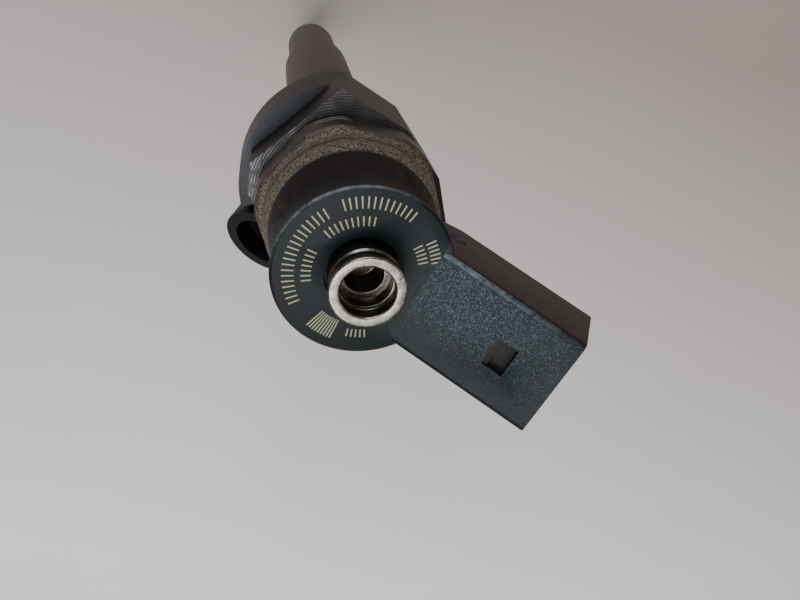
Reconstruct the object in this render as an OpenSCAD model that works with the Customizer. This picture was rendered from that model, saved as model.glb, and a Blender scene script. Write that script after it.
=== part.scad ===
// Solenoid-valve fuel injector for a common-rail diesel engine.
// +Z runs up the injector's axis, from the nozzle to the cap, and the electrical connector
// points towards +X. The origin is the middle of the face that seals on the cylinder head.

/* [Overall] */
// Height of the cap's flat top above the sealing face
cap_z = 162; // [160:0.5:166]
// Depth of the nozzle's tip below the sealing face
tip_depth = 18; // [17:0.5:20]

/* [Cap] */
// Diameter of the cap's disc
cap_d = 26; // [25:0.2:27]
// Thickness of the cap's disc
cap_edge = 1.4; // [1.2:0.1:2]
// Diameter of the neck under the disc
neck_d = 22.8; // [22:0.2:23.6]
// Diameter of the shoulder that sits over the solenoid nut
shoulder_d = 26.4; // [25:0.2:27]

/* [Connector] */
// Upward tilt of the connector from the cap's plane, in degrees
tilt = 28.6; // [24:0.2:32]
// Distance from the axis to the crease where the connector leaves the cap
crease_x = 8.4; // [8:0.1:9]
// Width of the connector shell
shell_w = 16.2; // [15.6:0.1:17]
// Thickness of the connector shell
shell_t = 15.8; // [15:0.1:16.4]
// Length of the connector shell along its top, from the crease
shell_len = 23.4; // [22:0.2:26]
// Wall thickness of the connector shell
shell_wall = 1.9; // [1.6:0.1:2.2]
// Depth of the plug socket
socket_depth = 14; // [12:0.5:14.5]
// Distance between the two terminals
pin_pitch = 5; // [4.6:0.1:5.4]
// Width of a terminal blade
pin_w = 2.8; // [2.2:0.1:3]
// Thickness of a terminal blade
pin_t = 0.8; // [0.6:0.1:1]

/* [Return stub] */
// Outer diameter of the stub's lip
stub_d = 10.66; // [10.2:0.02:11]
// Height of the stub above the cap
stub_h = 5.4; // [5:0.1:6]
// Diameter of the bore that takes the leak-off coupling
return_d = 7.6; // [7.2:0.1:7.8]
// Depth of that bore
return_depth = 5.2; // [4.6:0.1:5.6]

/* [Solenoid nut] */
// Width across the nut's flats
nut_af = 29; // [28.6:0.1:29.4]
// Azimuth of one of the nut's corners, in degrees
nut_az = 13; // [0:1:60]
// Height of the nut
nut_h = 11.6; // [11.2:0.1:11.8]
// Diameter of the plain collar above the hexagon
collar_d = 28.2; // [27.6:0.1:28.6]

/* [Holder body] */
// Diameter of the head's lower flange
head_d = 36.5; // [36:0.1:37.5]
// Diameter that the corners of the head's upper part lie on
crown_d = 39; // [38:0.1:40]
// Height of the head
head_h = 16; // [15:0.5:17]
// Depth of the clamp ledges below the head's top
ledge_drop = 7; // [6:0.5:8]
// Distance from the axis to the walls above the ledges
ledge_wall = 15.5; // [15:0.1:16]
// Diameter of the barrel below the head
barrel_d = 25; // [24:0.2:26]
// Diameter of the nozzle nut above its step
shank_d = 17.6; // [17:0.1:18]

/* [Fuel inlet] */
// Azimuth of the inlet stub, in degrees
inlet_az = 244; // [238:1:250]
// Angle between the inlet stub and the injector's axis, in degrees
inlet_tilt = 38; // [36:1:40]
// Diameter of the inlet stub
inlet_d = 14.4; // [14:0.1:14.6]
// Length of the inlet stub from the injector's axis
inlet_len = 30; // [29.5:0.5:31]
// Diameter of the socket in the inlet stub's end
inlet_socket_d = 10.4; // [10:0.1:10.8]

/* [Nozzle] */
// Diameter of the nozzle's shaft
nozzle_d = 7; // [6.9:0.05:7.05]
// Diameter of the nozzle nut below its step
nut_low_d = 14.6; // [14.2:0.1:15]
// Height of the nozzle nut's step above the sealing face
step_z = 35; // [34:0.5:36]
// Height of the nozzle nut's top above the sealing face
nozzle_nut_z = 78; // [76:0.5:80]
// Outer diameter of the copper washer
washer_d = 14; // [13.6:0.1:14.4]
// Thickness of the copper washer
washer_t = 2; // [1.5:0.1:2.5]

/* [Control parts] */
// Diameter of the nozzle needle's guide
needle_d = 4; // [3.9:0.05:4.1]
// Diameter of the control plunger's guide
plunger_d = 4.3; // [4.2:0.05:4.4]
// Diameter of the armature pin
pin_d = 2.9; // [2.8:0.05:3]
// Diameter of the valve ball
ball_d = 1.35; // [1.3:0.05:1.4]
// Running clearance on the radius of the moving parts
run_gap = 0.03; // [0.02:0.01:0.04]

/* [Hidden] */
$fn = 64;
fine = 0.02;                              // gap that keeps a moving face off its stop
over = 1;                                 // how far a cutter runs past the face it opens

nut_top_z = cap_z - 14;
collar_z = cap_z - 19.6;                  // where the collar meets the hexagon
head_top_z = cap_z - 26;
head_low_z = head_top_z - head_h;
ledge_z = head_top_z - ledge_drop;
spigot_z = head_top_z + 6;                // top of the spigot that the solenoid nut screws on
barrel_low_z = head_low_z - 22;
inlet_root_z = head_low_z - 16.4;

clamp_az = 157;                           // azimuth of the clamp ledges, one each side
front_az = 85;                            // azimuth of the flat beside the ledges
wrench_az = inlet_az - 182;               // azimuth of the wrench flat
relief_az = inlet_az - 2;                 // azimuth of the cut above the inlet stub
crown_flats = [                           // azimuth and distance from the axis, above the ledges
  [clamp_az, ledge_wall], [clamp_az + 180, ledge_wall], [relief_az, 12.5], [relief_az - 42, 16.5]
];
tall_flats = [                            // azimuth and distance from the axis, over the whole head
  [front_az, ledge_wall + 0.2], [wrench_az, ledge_wall - 0.3], [wrench_az - 22, ledge_wall + 0.6]
];
holder_shank_r = shank_d / 2 - 0.5;       // holder's shank, a little slimmer than the nut

spigot_r = 12.4;
chamber_r = 9;                            // valve chamber in the head
chamber_z = head_top_z - 12;              // floor of the valve chamber
valve_seat_z = chamber_z - 5;             // shoulder that the valve piece is clamped on
valve_flange_r = 8.4;
valve_stem_r = 4;
gallery_r = 5;                            // fuel gallery around the valve piece's stem
plunger_r = plunger_d / 2;
pin_r = pin_d / 2;
ball_r = ball_d / 2;
ball_z = chamber_z + 0.62;                // centre of the ball on its seat

screw_z = chamber_z + 3;                  // top of the valve clamp screw
guide_z = screw_z + 4;                    // top of the armature guide's flange
tube_z = guide_z + 4;                     // top of the armature guide's tube
magnet_z = spigot_z;                      // underside of the magnet group
plate_z = magnet_z - 0.25;                // top of the armature plate
plate_t = 1.6;
hub_z = plate_z - 4.2;                    // underside of the plate's hub
guide_tube_r = 3.2;
bolt_r = 2.6;                             // bore through the middle of the magnet core

core_r = 9;
core_top_z = magnet_z + 11;
slot_in_r = 4.9;                          // coil slot in the magnet core
slot_out_r = 7.7;
slot_z = magnet_z + 8.5;
cover_z = core_top_z + 1.2;               // top of the cover disc
stub_base_z = cover_z + 1.8;              // top of the return stub's buried flange
stub_foot_r = 5.6;
stub_top_z = cap_z + stub_h;
leg_x = 6.3;                              // where the terminals leave the coil
latch_x = 13;                             // start of the latch pocket in the shell's top
latch_len = 3.4;
latch_w = 4.5;
latch_step = 0.8;                         // length of the pocket's shallow end

spigot_low_r = 7;                         // thread between holder and nozzle nut
joint_z = 44;                             // where holder and nozzle body meet
spring_room_r = 3.9;
spring_room_z = 72;
fuel_bore_x = 5.45;                       // offset of the long fuel drilling
shaft_r = 4.7;                            // nozzle shaft inside the nut's lower part
seat_top_z = joint_z + 3.6;               // top of the needle spring's lower seat
shim_z = spring_room_z - 2;

// ---- Shared shapes ----

// Straight round bar on the axis between two heights
module rod(r, low, high) {
  translate([0, 0, low]) cylinder(r=r, h=high - low);
}

// Round ring on the axis between two heights
module ring(r_out, r_in, low, high) {
  difference() {
    rod(r_out, low, high);
    rod(r_in, low - over, high + over);
  }
}

// Solid of revolution from [radius, height] corners
module turned(corners) {
  rotate_extrude() polygon(corners);
}

// Half space beyond a wall that stands at a distance from the axis, above a floor
module flat_cut(azimuth, wall, low, high) {
  rotate([0, 0, azimuth]) translate([wall, -head_d, low]) cube([head_d, 2 * head_d, high - low]);
}

// Places a child on the inlet's own axis, whose +Z runs out of the stub
module on_inlet() {
  translate([0, 0, inlet_root_z]) rotate([0, inlet_tilt, inlet_az]) children();
}

// Places a child in the connector's frame: +X along its top, -Z down into it
module on_connector() {
  translate([crease_x, 0, cap_z]) rotate([0, -tilt, 0]) children();
}

// Height of a coil spring's wire after a number of turns, with closed ends
function coil_height(turn, turns, free, wire) =
  let (closed = 1.06 * wire, pitch = (free - wire - 2 * closed) / (turns - 2))
  closed * min(turn, 1) + pitch * max(0, min(turn - 1, turns - 2)) + closed * max(0, turn - turns + 1);

// Coil spring of round wire between two heights
module coil_spring(mean_r, wire, low, high, turns) {
  sides = 8;
  per_turn = 20;
  count = turns * per_turn;
  free = high - low;
  points = [
    for (i = [0 : count], k = [0 : sides - 1])
      let (a = 360 * i / per_turn, b = 360 * (k + 0.5) / sides)
      let (r = mean_r + wire / 2 * cos(b))
      [r * cos(a), r * sin(a),
       low + wire / 2 + coil_height(i / per_turn, turns, free, wire) + wire / 2 * sin(b)]
  ];
  skin = [
    for (i = [0 : count - 1], k = [0 : sides - 1])
      let (n = (k + 1) % sides)
      [i * sides + k, (i + 1) * sides + k, (i + 1) * sides + n, i * sides + n]
  ];
  first = [[for (k = [0 : sides - 1]) k]];
  last = [[for (k = [sides - 1 : -1 : 0]) count * sides + k]];
  polyhedron(points=points, faces=concat(skin, first, last), convexity=10);
}

// ---- Holder ----

// Forged and turned holder with its head, inlet stub, barrel and shank
module holder_body() color("dimgray") difference() {
  union() {
    difference() {
      union() {
        rod(head_d / 2, head_low_z, ledge_z);
        difference() {
          rod(crown_d / 2, ledge_z - 0.5, head_top_z);
          for (flat = crown_flats) flat_cut(flat[0], flat[1], ledge_z - over, head_top_z + over);
        }
      }
      for (flat = tall_flats) flat_cut(flat[0], flat[1], head_low_z - over, head_top_z + over);
      on_inlet() cylinder(d=inlet_d + 2.4, h=3 * inlet_len);
    }
    rod(spigot_r, head_top_z - over, spigot_z);
    turned([
      [0, head_low_z + over], [barrel_d / 2, head_low_z + over], [barrel_d / 2, barrel_low_z],
      [holder_shank_r, barrel_low_z - 8], [holder_shank_r, nozzle_nut_z + 0.5],
      [spigot_low_r, nozzle_nut_z + 0.5],
      [spigot_low_r, joint_z], [0, joint_z]
    ]);
    on_inlet() cylinder(d=inlet_d, h=inlet_len);
    ring(chamber_r + 1.2, chamber_r - over, chamber_z, spigot_z);
  }
  rod(chamber_r, chamber_z, spigot_z + over);
  rod(valve_flange_r, valve_seat_z, chamber_z + over);
  rod(gallery_r, inlet_root_z - 3, valve_seat_z - 1.5);
  rod(valve_stem_r + 1, valve_seat_z - 1.6, valve_seat_z + over);
  rod(plunger_r + 0.35, spring_room_z - over, inlet_root_z);
  rod(spring_room_r, joint_z - over, spring_room_z);
  translate([0, fuel_bore_x, joint_z - over]) cylinder(r=0.8, h=inlet_root_z - joint_z);
  translate([0, 0, inlet_root_z - 2]) rotate([-90, 0, 0]) cylinder(r=0.8, h=fuel_bore_x);
  for (side = [-1, 1])
    translate([side * fuel_bore_x, 0, joint_z - over]) cylinder(r=0.75, h=over + 3);
  on_inlet() {
    cylinder(r=0.9, h=inlet_len);
    translate([0, 0, inlet_len - 22]) cylinder(r=1.9, h=22);
    translate([0, 0, inlet_len - 10]) cylinder(r1=1.9, r2=inlet_socket_d / 2, h=6);
    translate([0, 0, inlet_len - 4]) cylinder(d=inlet_socket_d, h=4 + over);
  }
  difference() {
    rod(11.9, spigot_z - 1.4, spigot_z + over);
    rod(10.1, spigot_z - 2, spigot_z + 2 * over);
  }
}

// Edge filter pressed into the inlet's drilling
module inlet_filter() color("silver") on_inlet() difference() {
  translate([0, 0, inlet_len - 19.5]) cylinder(r=1.9, h=9);
  for (i = [0 : 3])
    rotate([0, 0, 90 * i]) translate([1.5, -0.35, inlet_len - 20.5 + 2 * (i % 2)])
      cube([over, 0.7, 9]);
}

// ---- Nozzle ----

// Long nut that clamps the nozzle body to the holder
module nozzle_nut() color("rosybrown") difference() {
  turned([
    [0, washer_t], [nut_low_d / 2 - 0.6, washer_t], [nut_low_d / 2, washer_t + 0.6],
    [nut_low_d / 2, step_z - 1.6], [shank_d / 2, step_z + 1.4],
    [shank_d / 2, nozzle_nut_z - 0.5], [shank_d / 2 - 0.5, nozzle_nut_z], [0, nozzle_nut_z]
  ]);
  rod(spigot_low_r, step_z + 1, nozzle_nut_z + over);
  rod(shaft_r + 0.1, washer_t + 2, step_z + 2);
  rod(nozzle_d / 2 + 0.3, washer_t - over, washer_t + 3);
}

// Soft copper ring that seals the nut's end on the cylinder head
module sealing_washer() color("peru") ring(washer_d / 2, nozzle_d / 2 + 0.25, 0, washer_t);

// Hardened nozzle body with its needle guide, fuel chamber and spray tip
module nozzle_body() color("slategray") difference() {
  turned([
    [0, -tip_depth], [0.9, -tip_depth + 0.25], [1.3, -tip_depth + 0.9], [2.6, -tip_depth + 1.9],
    [nozzle_d / 2, -tip_depth + 2.4], [nozzle_d / 2, 0], [nozzle_d / 2 - 0.25, 0.2],
    [nozzle_d / 2 - 0.25, washer_t + 2.4], [shaft_r, washer_t + 3.6],
    [shaft_r, step_z + 1], [spigot_low_r, step_z + 1], [spigot_low_r, joint_z], [0, joint_z]
  ]);
  rod(needle_d / 2 + run_gap, 26, joint_z + over);
  rod(3, 24, 28);
  rod(1.9, -tip_depth + 4, 25);
  translate([0, 0, -tip_depth + 1.4]) cylinder(r1=0.35, r2=1.9, h=2.7);
  rod(0.35, -tip_depth + 0.8, -tip_depth + 1.6);
  for (i = [0 : 6])
    translate([0, 0, -tip_depth + 1.1]) rotate([0, 105, 360 * i / 7]) cylinder(r=0.08, h=2);
  translate([0, fuel_bore_x, joint_z + 0.1]) rotate([10, 0, 0]) translate([0, 0, -19])
    cylinder(r=0.7, h=19);
  for (side = [-1, 1])
    translate([side * fuel_bore_x, 0, joint_z - 3]) cylinder(r=0.75, h=3 + over);
}

// Needle that opens the spray holes
module nozzle_needle() color("lightsteelblue") {
  tip = -tip_depth + 1.75;
  turned([
    [0, tip], [0.3, tip + 0.1], [1.4, tip + 2.1], [1.4, 27], [needle_d / 2, 28.2],
    [needle_d / 2, joint_z - 0.6], [1.1, joint_z - 0.2], [1.1, joint_z + 1], [0, joint_z + 1]
  ]);
}

// Cup on the needle that carries the spring's lower end
module needle_spring_seat() color("silver") difference() {
  turned([
    [0, joint_z + 0.4], [2.6, joint_z + 0.4], [2.6, joint_z + 1.4], [3.7, joint_z + 1.8],
    [3.7, seat_top_z], [0, seat_top_z]
  ]);
  rod(1.1, joint_z - over, joint_z + 1);
}

// Coil spring that closes the needle
module needle_spring() color("gray")
  coil_spring(2.75, 1.4, seat_top_z + fine, shim_z - fine, 9);

// Ring that sets the needle spring's preload
module needle_spring_shim() color("silver")
  ring(3.8, plunger_r + 0.3, shim_z, spring_room_z);

// Two dowels that line up the nozzle body and the holder
module locating_pins() color("silver") for (side = [-1, 1])
  translate([side * fuel_bore_x, 0, joint_z - 2.8]) cylinder(r=0.75, h=5.6);

// ---- Control valve ----

// Rod that carries the control pressure down to the needle
module control_plunger() color("lightsteelblue") turned([
  [0, seat_top_z], [1.3, seat_top_z], [1.3, 80], [plunger_r, 82],
  [plunger_r, chamber_z - 2.9], [plunger_r - 0.4, chamber_z - 2.5], [0, chamber_z - 2.5]
]);

// Valve piece with the plunger's guide and the ball's seat
module valve_piece() color("slategray") difference() {
  union() {
    rod(valve_flange_r, valve_seat_z, chamber_z);
    rod(valve_stem_r, inlet_root_z + 1, valve_seat_z + over);
  }
  rod(plunger_r + run_gap, inlet_root_z, chamber_z - 1.7);
  rod(0.25, chamber_z - 2, chamber_z + over);
  translate([0, 0, chamber_z - 0.15]) cylinder(r1=0.3, r2=1.5, h=1.25);
  translate([0, 0, chamber_z - 2.1]) rotate([0, 90, 30]) cylinder(r=0.2, h=valve_flange_r + over);
}

// Soft ring that keeps the fuel under the valve piece
module valve_seal_ring() color("peru")
  ring(valve_stem_r + 1, valve_stem_r, valve_seat_z - 1.5, valve_seat_z);

// Screwed ring that holds the valve piece down
module valve_clamp_screw() color("gray") difference() {
  ring(chamber_r, 3.6, chamber_z, screw_z);
  for (i = [0 : 3])
    rotate([0, 0, 90 * i]) translate([6.4, 0, chamber_z + 1]) cylinder(r=0.9, h=3);
}

// Ball that closes the control valve
module valve_ball() color("white") translate([0, 0, ball_z]) sphere(r=ball_r);

// Cup that holds the ball under the armature pin
module ball_guide() color("silver") difference() {
  rod(1.3, ball_z + 0.12, ball_z + 1.7);
  translate([0, 0, ball_z]) sphere(r=ball_r);
}

// Flange and tube that guide the armature pin
module armature_guide() color("slategray") difference() {
  union() {
    rod(chamber_r, screw_z, guide_z);
    rod(guide_tube_r, guide_z - over, tube_z);
  }
  rod(pin_r + run_gap, screw_z - over, tube_z + over);
  for (i = [0 : 4])
    rotate([0, 0, 72 * i]) translate([5.6, 0, screw_z - over]) cylinder(r=1.1, h=6);
}

// Pin that carries the armature and presses on the ball
module armature_pin() color("lightsteelblue") turned([
  [0, ball_z + 1.7], [pin_r, ball_z + 1.7], [pin_r, plate_z + 0.06], [1, plate_z + 0.06],
  [1, plate_z + 0.7], [pin_r, plate_z + 0.7], [pin_r, plate_z + 1.6], [0.8, plate_z + 1.6],
  [0.8, plate_z + 3.6], [0, plate_z + 3.6]
]);

// Slotted steel plate that the magnet pulls up
module armature_plate() color("dimgray") difference() {
  union() {
    rod(8.3, plate_z - plate_t, plate_z);
    rod(2.5, hub_z, plate_z);
  }
  rod(pin_r + run_gap, hub_z - over, plate_z + over);
  for (i = [0 : 3])
    rotate([0, 0, 90 * i + 45]) translate([4, -0.5, plate_z - plate_t - over])
      cube([6, 1, plate_t + 2 * over]);
}

// Open clip in the pin's groove that stops the plate
module armature_clip() color("silver") difference() {
  ring(2.2, 1, plate_z + 0.06, plate_z + 0.66);
  translate([0, -1, plate_z - over]) cube([3, 2, 3]);
}

// Small coil spring that lifts the plate against the clip
module armature_spring() color("gray")
  coil_spring(2.1, 0.5, tube_z + fine, hub_z - fine, 3);

// Ring that sets the armature's lift
module lift_ring() color("silver") ring(chamber_r, 8.45, guide_z, magnet_z);

// Coil spring that closes the control valve
module valve_spring() color("gray")
  coil_spring(1.8, 0.7, plate_z + 1.6 + fine, core_top_z - 1 - fine, 6);

// Disc that sets the valve spring's preload
module valve_spring_shim() color("silver") ring(bolt_r, 0.8, core_top_z - 1, core_top_z);

// ---- Magnet ----

// Pot core with its coil slot and its middle bore
module magnet_core() color("dimgray") difference() {
  ring(core_r, bolt_r, magnet_z, core_top_z);
  ring(slot_out_r, slot_in_r, magnet_z - over, slot_z);
  terminal_slots(slot_z - over, core_top_z + over);
}

// Openings that let the terminal legs through
module terminal_slots(low, high) {
  for (side = [-1, 1])
    translate([leg_x - 0.6, side * pin_pitch / 2 - pin_w / 2 - 0.2, low])
      cube([1.2, pin_w + 0.4, high - low]);
}

// Moulded reel for the winding
module coil_bobbin() color("khaki") difference() {
  ring(slot_out_r - 0.1, slot_in_r + 0.05, magnet_z + 0.3, slot_z - 0.05);
  difference() {
    rod(slot_out_r, magnet_z + 0.9, slot_z - 0.9);
    rod(slot_in_r + 0.45, magnet_z, slot_z);
  }
}

// Enamelled copper winding
module coil_winding() color("orangered")
  ring(slot_out_r - 0.25, slot_in_r + 0.45, magnet_z + 0.9, slot_z - 0.9);

// Steel sleeve around the core, clamped by its flange
module magnet_sleeve() color("gray") difference() {
  turned([
    [0, magnet_z], [spigot_r - 0.1, magnet_z], [spigot_r - 0.1, nut_top_z - 2.6],
    [11.6, nut_top_z - 2.6], [11.6, nut_top_z + 0.4], [10.2, nut_top_z + 0.4],
    [10.2, cover_z], [0, cover_z]
  ]);
  rod(core_r, magnet_z - over, cover_z + over);
}

// Disc that closes the sleeve above the core
module magnet_cover_disc() color("silver") difference() {
  ring(core_r, 1.6, core_top_z, cover_z);
  terminal_slots(core_top_z - over, cover_z + over);
}

// Seal between the magnet sleeve and the holder
module magnet_o_ring() color("black")
  rotate_extrude() translate([11, spigot_z - 0.72]) circle(r=0.68);

// Hexagonal nut that clamps the magnet group to the holder
module solenoid_nut() color("saddlebrown") difference() {
  intersection() {
    rotate([0, 0, nut_az]) translate([0, 0, nut_top_z - nut_h])
      cylinder(d=nut_af / cos(30), h=nut_h, $fn=6);
    turned([
      [0, nut_top_z - nut_h], [nut_af / 2, nut_top_z - nut_h],
      [nut_af / 2 + 0.9, nut_top_z - nut_h + 0.8], [nut_af / 2 + 0.9, collar_z - 0.5],
      [collar_d / 2, collar_z + 0.6], [collar_d / 2 - 0.2, nut_top_z - 1.4],
      [collar_d / 2 - 0.9, nut_top_z], [0, nut_top_z]
    ]);
  }
  rod(spigot_r, nut_top_z - nut_h - over, nut_top_z - 2.6);
  rod(11.7, nut_top_z - 3, nut_top_z + over);
}

// ---- Cap and connector ----

// Steel return fitting, moulded into the cap
module return_stub() color("lightgray") difference() {
  turned([
    [0, cover_z], [stub_foot_r, cover_z], [stub_foot_r, stub_base_z], [5.1, stub_base_z],
    [5.1, cap_z + 2.2],
    [4.8, cap_z + 2.5], [4.8, cap_z + 4.1], [stub_d / 2, cap_z + 4.5],
    [stub_d / 2, stub_top_z - 0.2], [stub_d / 2 - 0.2, stub_top_z], [0, stub_top_z]
  ]);
  rod(return_d / 2, stub_top_z - return_depth, stub_top_z + over);
  translate([0, 0, stub_top_z - 0.25]) cylinder(r1=return_d / 2, r2=return_d / 2 + 0.5, h=0.5);
  ring(return_d / 2 + 0.45, 1, stub_top_z - 3, stub_top_z - 2);
  rod(2.7, stub_base_z + 1, stub_top_z - return_depth + over);
  rod(1.6, cover_z - over, stub_base_z + 2);
}

// Seal between the stub and the cap
module stub_o_ring() color("black")
  rotate_extrude() translate([5.85, cap_z - 3.4]) circle(r=0.74);

// Outline of the connector shell across its length, with rounded corners
module shell_outline(inset, corner) {
  w = shell_w - 2 * inset;
  t = shell_t - 2 * inset;
  translate([-shell_t / 2, 0]) union() {
    square([t - 2 * corner, w], center=true);
    square([t, w - 2 * corner], center=true);
    for (i = [-1, 1], j = [-1, 1])
      translate([i * (t / 2 - corner), j * (w / 2 - corner)]) circle(r=corner);
  }
}

// Prism of that outline between two distances along the connector
module shell_prism(inset, corner, from, to) {
  on_connector() translate([from, 0, 0]) rotate([0, 90, 0]) mirror([1, 0, 0])
    linear_extrude(to - from) shell_outline(inset, corner);
}

// Moulded cap, neck and connector shell
module connector_cap() color("darkslategray") difference() {
  union() {
    turned([
      [0, nut_top_z + 0.25], [shoulder_d / 2, nut_top_z + 0.25],
      [shoulder_d / 2, nut_top_z + 0.9], [neck_d / 2, nut_top_z + 4],
      [neck_d / 2, cap_z - cap_edge - 0.5], [cap_d / 2 - 0.4, cap_z - cap_edge],
      [cap_d / 2, cap_z - cap_edge + 0.4], [cap_d / 2, cap_z - 0.4],
      [cap_d / 2 - 0.4, cap_z], [0, cap_z]
    ]);
    difference() {
      shell_prism(0, 1.1, -12, shell_len);
      translate([-50, -50, nut_top_z - 49]) cube([100, 100, 49.6]);
    }
  }
  rod(11.6, nut_top_z - over, nut_top_z + 0.4);
  rod(10.2, nut_top_z, cover_z);
  rod(stub_foot_r, cover_z - over, stub_base_z);
  rod(5.1, stub_base_z - over, cap_z + over);
  rod(5.6, cap_z - 1.2, cap_z + over);
  ring(6.6, 5, cap_z - 4.2, cap_z - 2.6);
  shell_prism(shell_wall, 0.8, shell_len - socket_depth, shell_len + over);
  on_connector() translate([latch_x, 1.9 - latch_w, -0.5]) cube([latch_len, latch_w, over + 0.5]);
  on_connector() translate([latch_x + latch_step, 1.9 - latch_w, -1.4])
    cube([latch_len - latch_step, latch_w, over]);
  for (side = [-1, 1]) terminal(side);
}

// Terminal blade: up from the coil, out to the shell, then along the socket
module terminal(side) {
  bend = [crease_x + shell_t / 2 * sin(tilt), cap_z - shell_t / 2 * cos(tilt)];
  tip = bend + (shell_len - socket_depth + 8) * [cos(tilt), sin(tilt)];
  path = [[leg_x, slot_z - 0.05], [leg_x, bend[1]], bend, tip];
  translate([0, side * pin_pitch / 2 + pin_w / 2, 0]) rotate([90, 0, 0])
    linear_extrude(pin_w) union() {
      for (i = [0 : 2]) strip(path[i], path[i + 1]);
      for (i = [1 : 2]) translate(path[i]) circle(d=pin_t);
    }
}

// Straight stretch of a blade's side view between two points
module strip(from, to) {
  run = to - from;
  translate(from) rotate(atan2(run[1], run[0])) translate([0, -pin_t / 2])
    square([norm(run), pin_t]);
}

// The two blades, seen from the plug's side
module terminal_left() color("gold") terminal(1);

module terminal_right() color("gold") terminal(-1);

holder_body();
inlet_filter();
nozzle_nut();
sealing_washer();
nozzle_body();
nozzle_needle();
needle_spring_seat();
needle_spring();
needle_spring_shim();
locating_pins();
control_plunger();
valve_piece();
valve_seal_ring();
valve_clamp_screw();
valve_ball();
ball_guide();
armature_guide();
armature_pin();
armature_plate();
armature_clip();
armature_spring();
lift_ring();
valve_spring();
valve_spring_shim();
magnet_core();
coil_bobbin();
coil_winding();
magnet_sleeve();
magnet_cover_disc();
magnet_o_ring();
solenoid_nut();
return_stub();
stub_o_ring();
connector_cap();
terminal_left();
terminal_right();
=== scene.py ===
"""Fuel injector for a common-rail diesel engine: finishes, rounded edges and marks on the CAD
frame.

Sizes are in metres, apart from the turned profiles and the cap's marks, which are listed in
millimetres. The frame is the CAD model's: +Z runs up the injector's axis to the cap, and the
electrical connector points towards +X.
"""

import math

import bmesh
import bpy
import numpy as np
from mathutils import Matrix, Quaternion, Vector


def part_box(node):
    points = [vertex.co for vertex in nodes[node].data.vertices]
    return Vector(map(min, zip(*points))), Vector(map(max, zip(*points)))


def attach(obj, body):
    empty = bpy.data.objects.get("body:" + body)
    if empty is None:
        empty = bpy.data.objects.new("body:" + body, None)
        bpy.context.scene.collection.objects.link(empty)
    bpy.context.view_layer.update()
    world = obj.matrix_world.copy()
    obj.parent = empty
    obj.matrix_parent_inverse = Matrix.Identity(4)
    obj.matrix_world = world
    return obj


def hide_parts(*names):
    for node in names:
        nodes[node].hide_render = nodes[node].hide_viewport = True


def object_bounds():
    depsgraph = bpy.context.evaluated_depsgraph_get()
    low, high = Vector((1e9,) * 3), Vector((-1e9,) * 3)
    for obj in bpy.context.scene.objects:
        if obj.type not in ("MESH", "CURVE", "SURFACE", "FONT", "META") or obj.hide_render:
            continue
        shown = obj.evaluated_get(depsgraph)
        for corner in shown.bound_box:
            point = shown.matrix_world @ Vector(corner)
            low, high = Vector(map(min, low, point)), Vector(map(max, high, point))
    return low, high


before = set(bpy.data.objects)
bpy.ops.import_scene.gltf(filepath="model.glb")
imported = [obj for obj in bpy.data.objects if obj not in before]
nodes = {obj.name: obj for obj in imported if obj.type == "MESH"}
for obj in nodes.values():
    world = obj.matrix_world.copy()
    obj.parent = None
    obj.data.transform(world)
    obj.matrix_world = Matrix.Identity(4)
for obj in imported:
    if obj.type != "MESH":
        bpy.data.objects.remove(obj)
cad_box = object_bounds()
MM = 0.001


# ---- Table, light and camera ----
# The injector stands on its nozzle over a plain pale table of painted board, under a wide soft
# ceiling light, a lower window from the left and a weak warm fill. The camera looks down on the
# cap, past the side that the connector leaves on.

def linear(hex_colour):
    """Turns an sRGB hex string into linear red, green, blue and alpha."""
    srgb = [int(hex_colour[i:i + 2], 16) / 255 for i in (1, 3, 5)]
    return [c / 12.92 if c <= 0.04045 else ((c + 0.055) / 1.055) ** 2.4 for c in srgb] + [1.0]


def add(tree, kind, feeds=None, **settings):
    """Adds a shader node, sets its properties, and feeds its sockets with values or outputs."""
    made = tree.nodes.new("ShaderNode" + kind)
    for name, value in settings.items():
        setattr(made, name, value)
    for name, value in (feeds or {}).items():
        if isinstance(value, bpy.types.NodeSocket):
            tree.links.new(value, made.inputs[name])
        else:
            made.inputs[name].default_value = value
    return made


def start_finish(name, colour, metallic, roughness):
    """A material with one Principled shader, and the object's own coordinates to draw on. The
    colour, metallic and roughness are the finish's overall ones, and a pattern varies them."""
    finish = bpy.data.materials.new(name)
    finish.use_nodes = True
    tree = finish.node_tree
    tree.nodes.clear()
    shader = add(tree, "BsdfPrincipled", {
        "Base Color": linear(colour), "Metallic": metallic, "Roughness": roughness})
    add(tree, "OutputMaterial", {"Surface": shader.outputs[0]})
    return finish, tree, shader, add(tree, "TexCoord").outputs["Object"]


def painted_board():
    """Painted board: matte and pale, with a very faint mottle from the roller, and painted light:
    the colour runs from a darker warm grey behind the injector to a cooler near-white on the near
    side."""
    finish, tree, shader, place = start_finish("painted_board", "#aca7a4", 0.0, 0.7)
    # Painted light: the colour ramps from darker and warmer behind the injector to whiter and
    # cooler on the near side.
    reach = add(tree, "VectorMath", {0: place, 1: (0.2, -1.0, 0.0)}, operation="DOT_PRODUCT")
    painted_light_ramp = add(tree, "MapRange", {
        "Value": reach.outputs["Value"], "From Min": -40 * MM, "From Max": 270 * MM}).outputs[0]
    tone = add(tree, "Mix", {0: painted_light_ramp, 6: linear("#9d9189"), 7: linear("#fdfdff")},
               data_type="RGBA")
    mottle = add(tree, "TexNoise", {"Vector": place, "Scale": 1 / (60 * MM), "Detail": 3.0})
    veil = add(tree, "MapRange", {"Value": mottle.outputs[0], "To Max": 0.12}).outputs[0]
    tint = add(tree, "Mix", {0: veil, 6: tone.outputs[2], 7: linear("#9a928c")}, data_type="RGBA")
    tree.links.new(tint.outputs[2], shader.inputs["Base Color"])
    return finish


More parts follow.
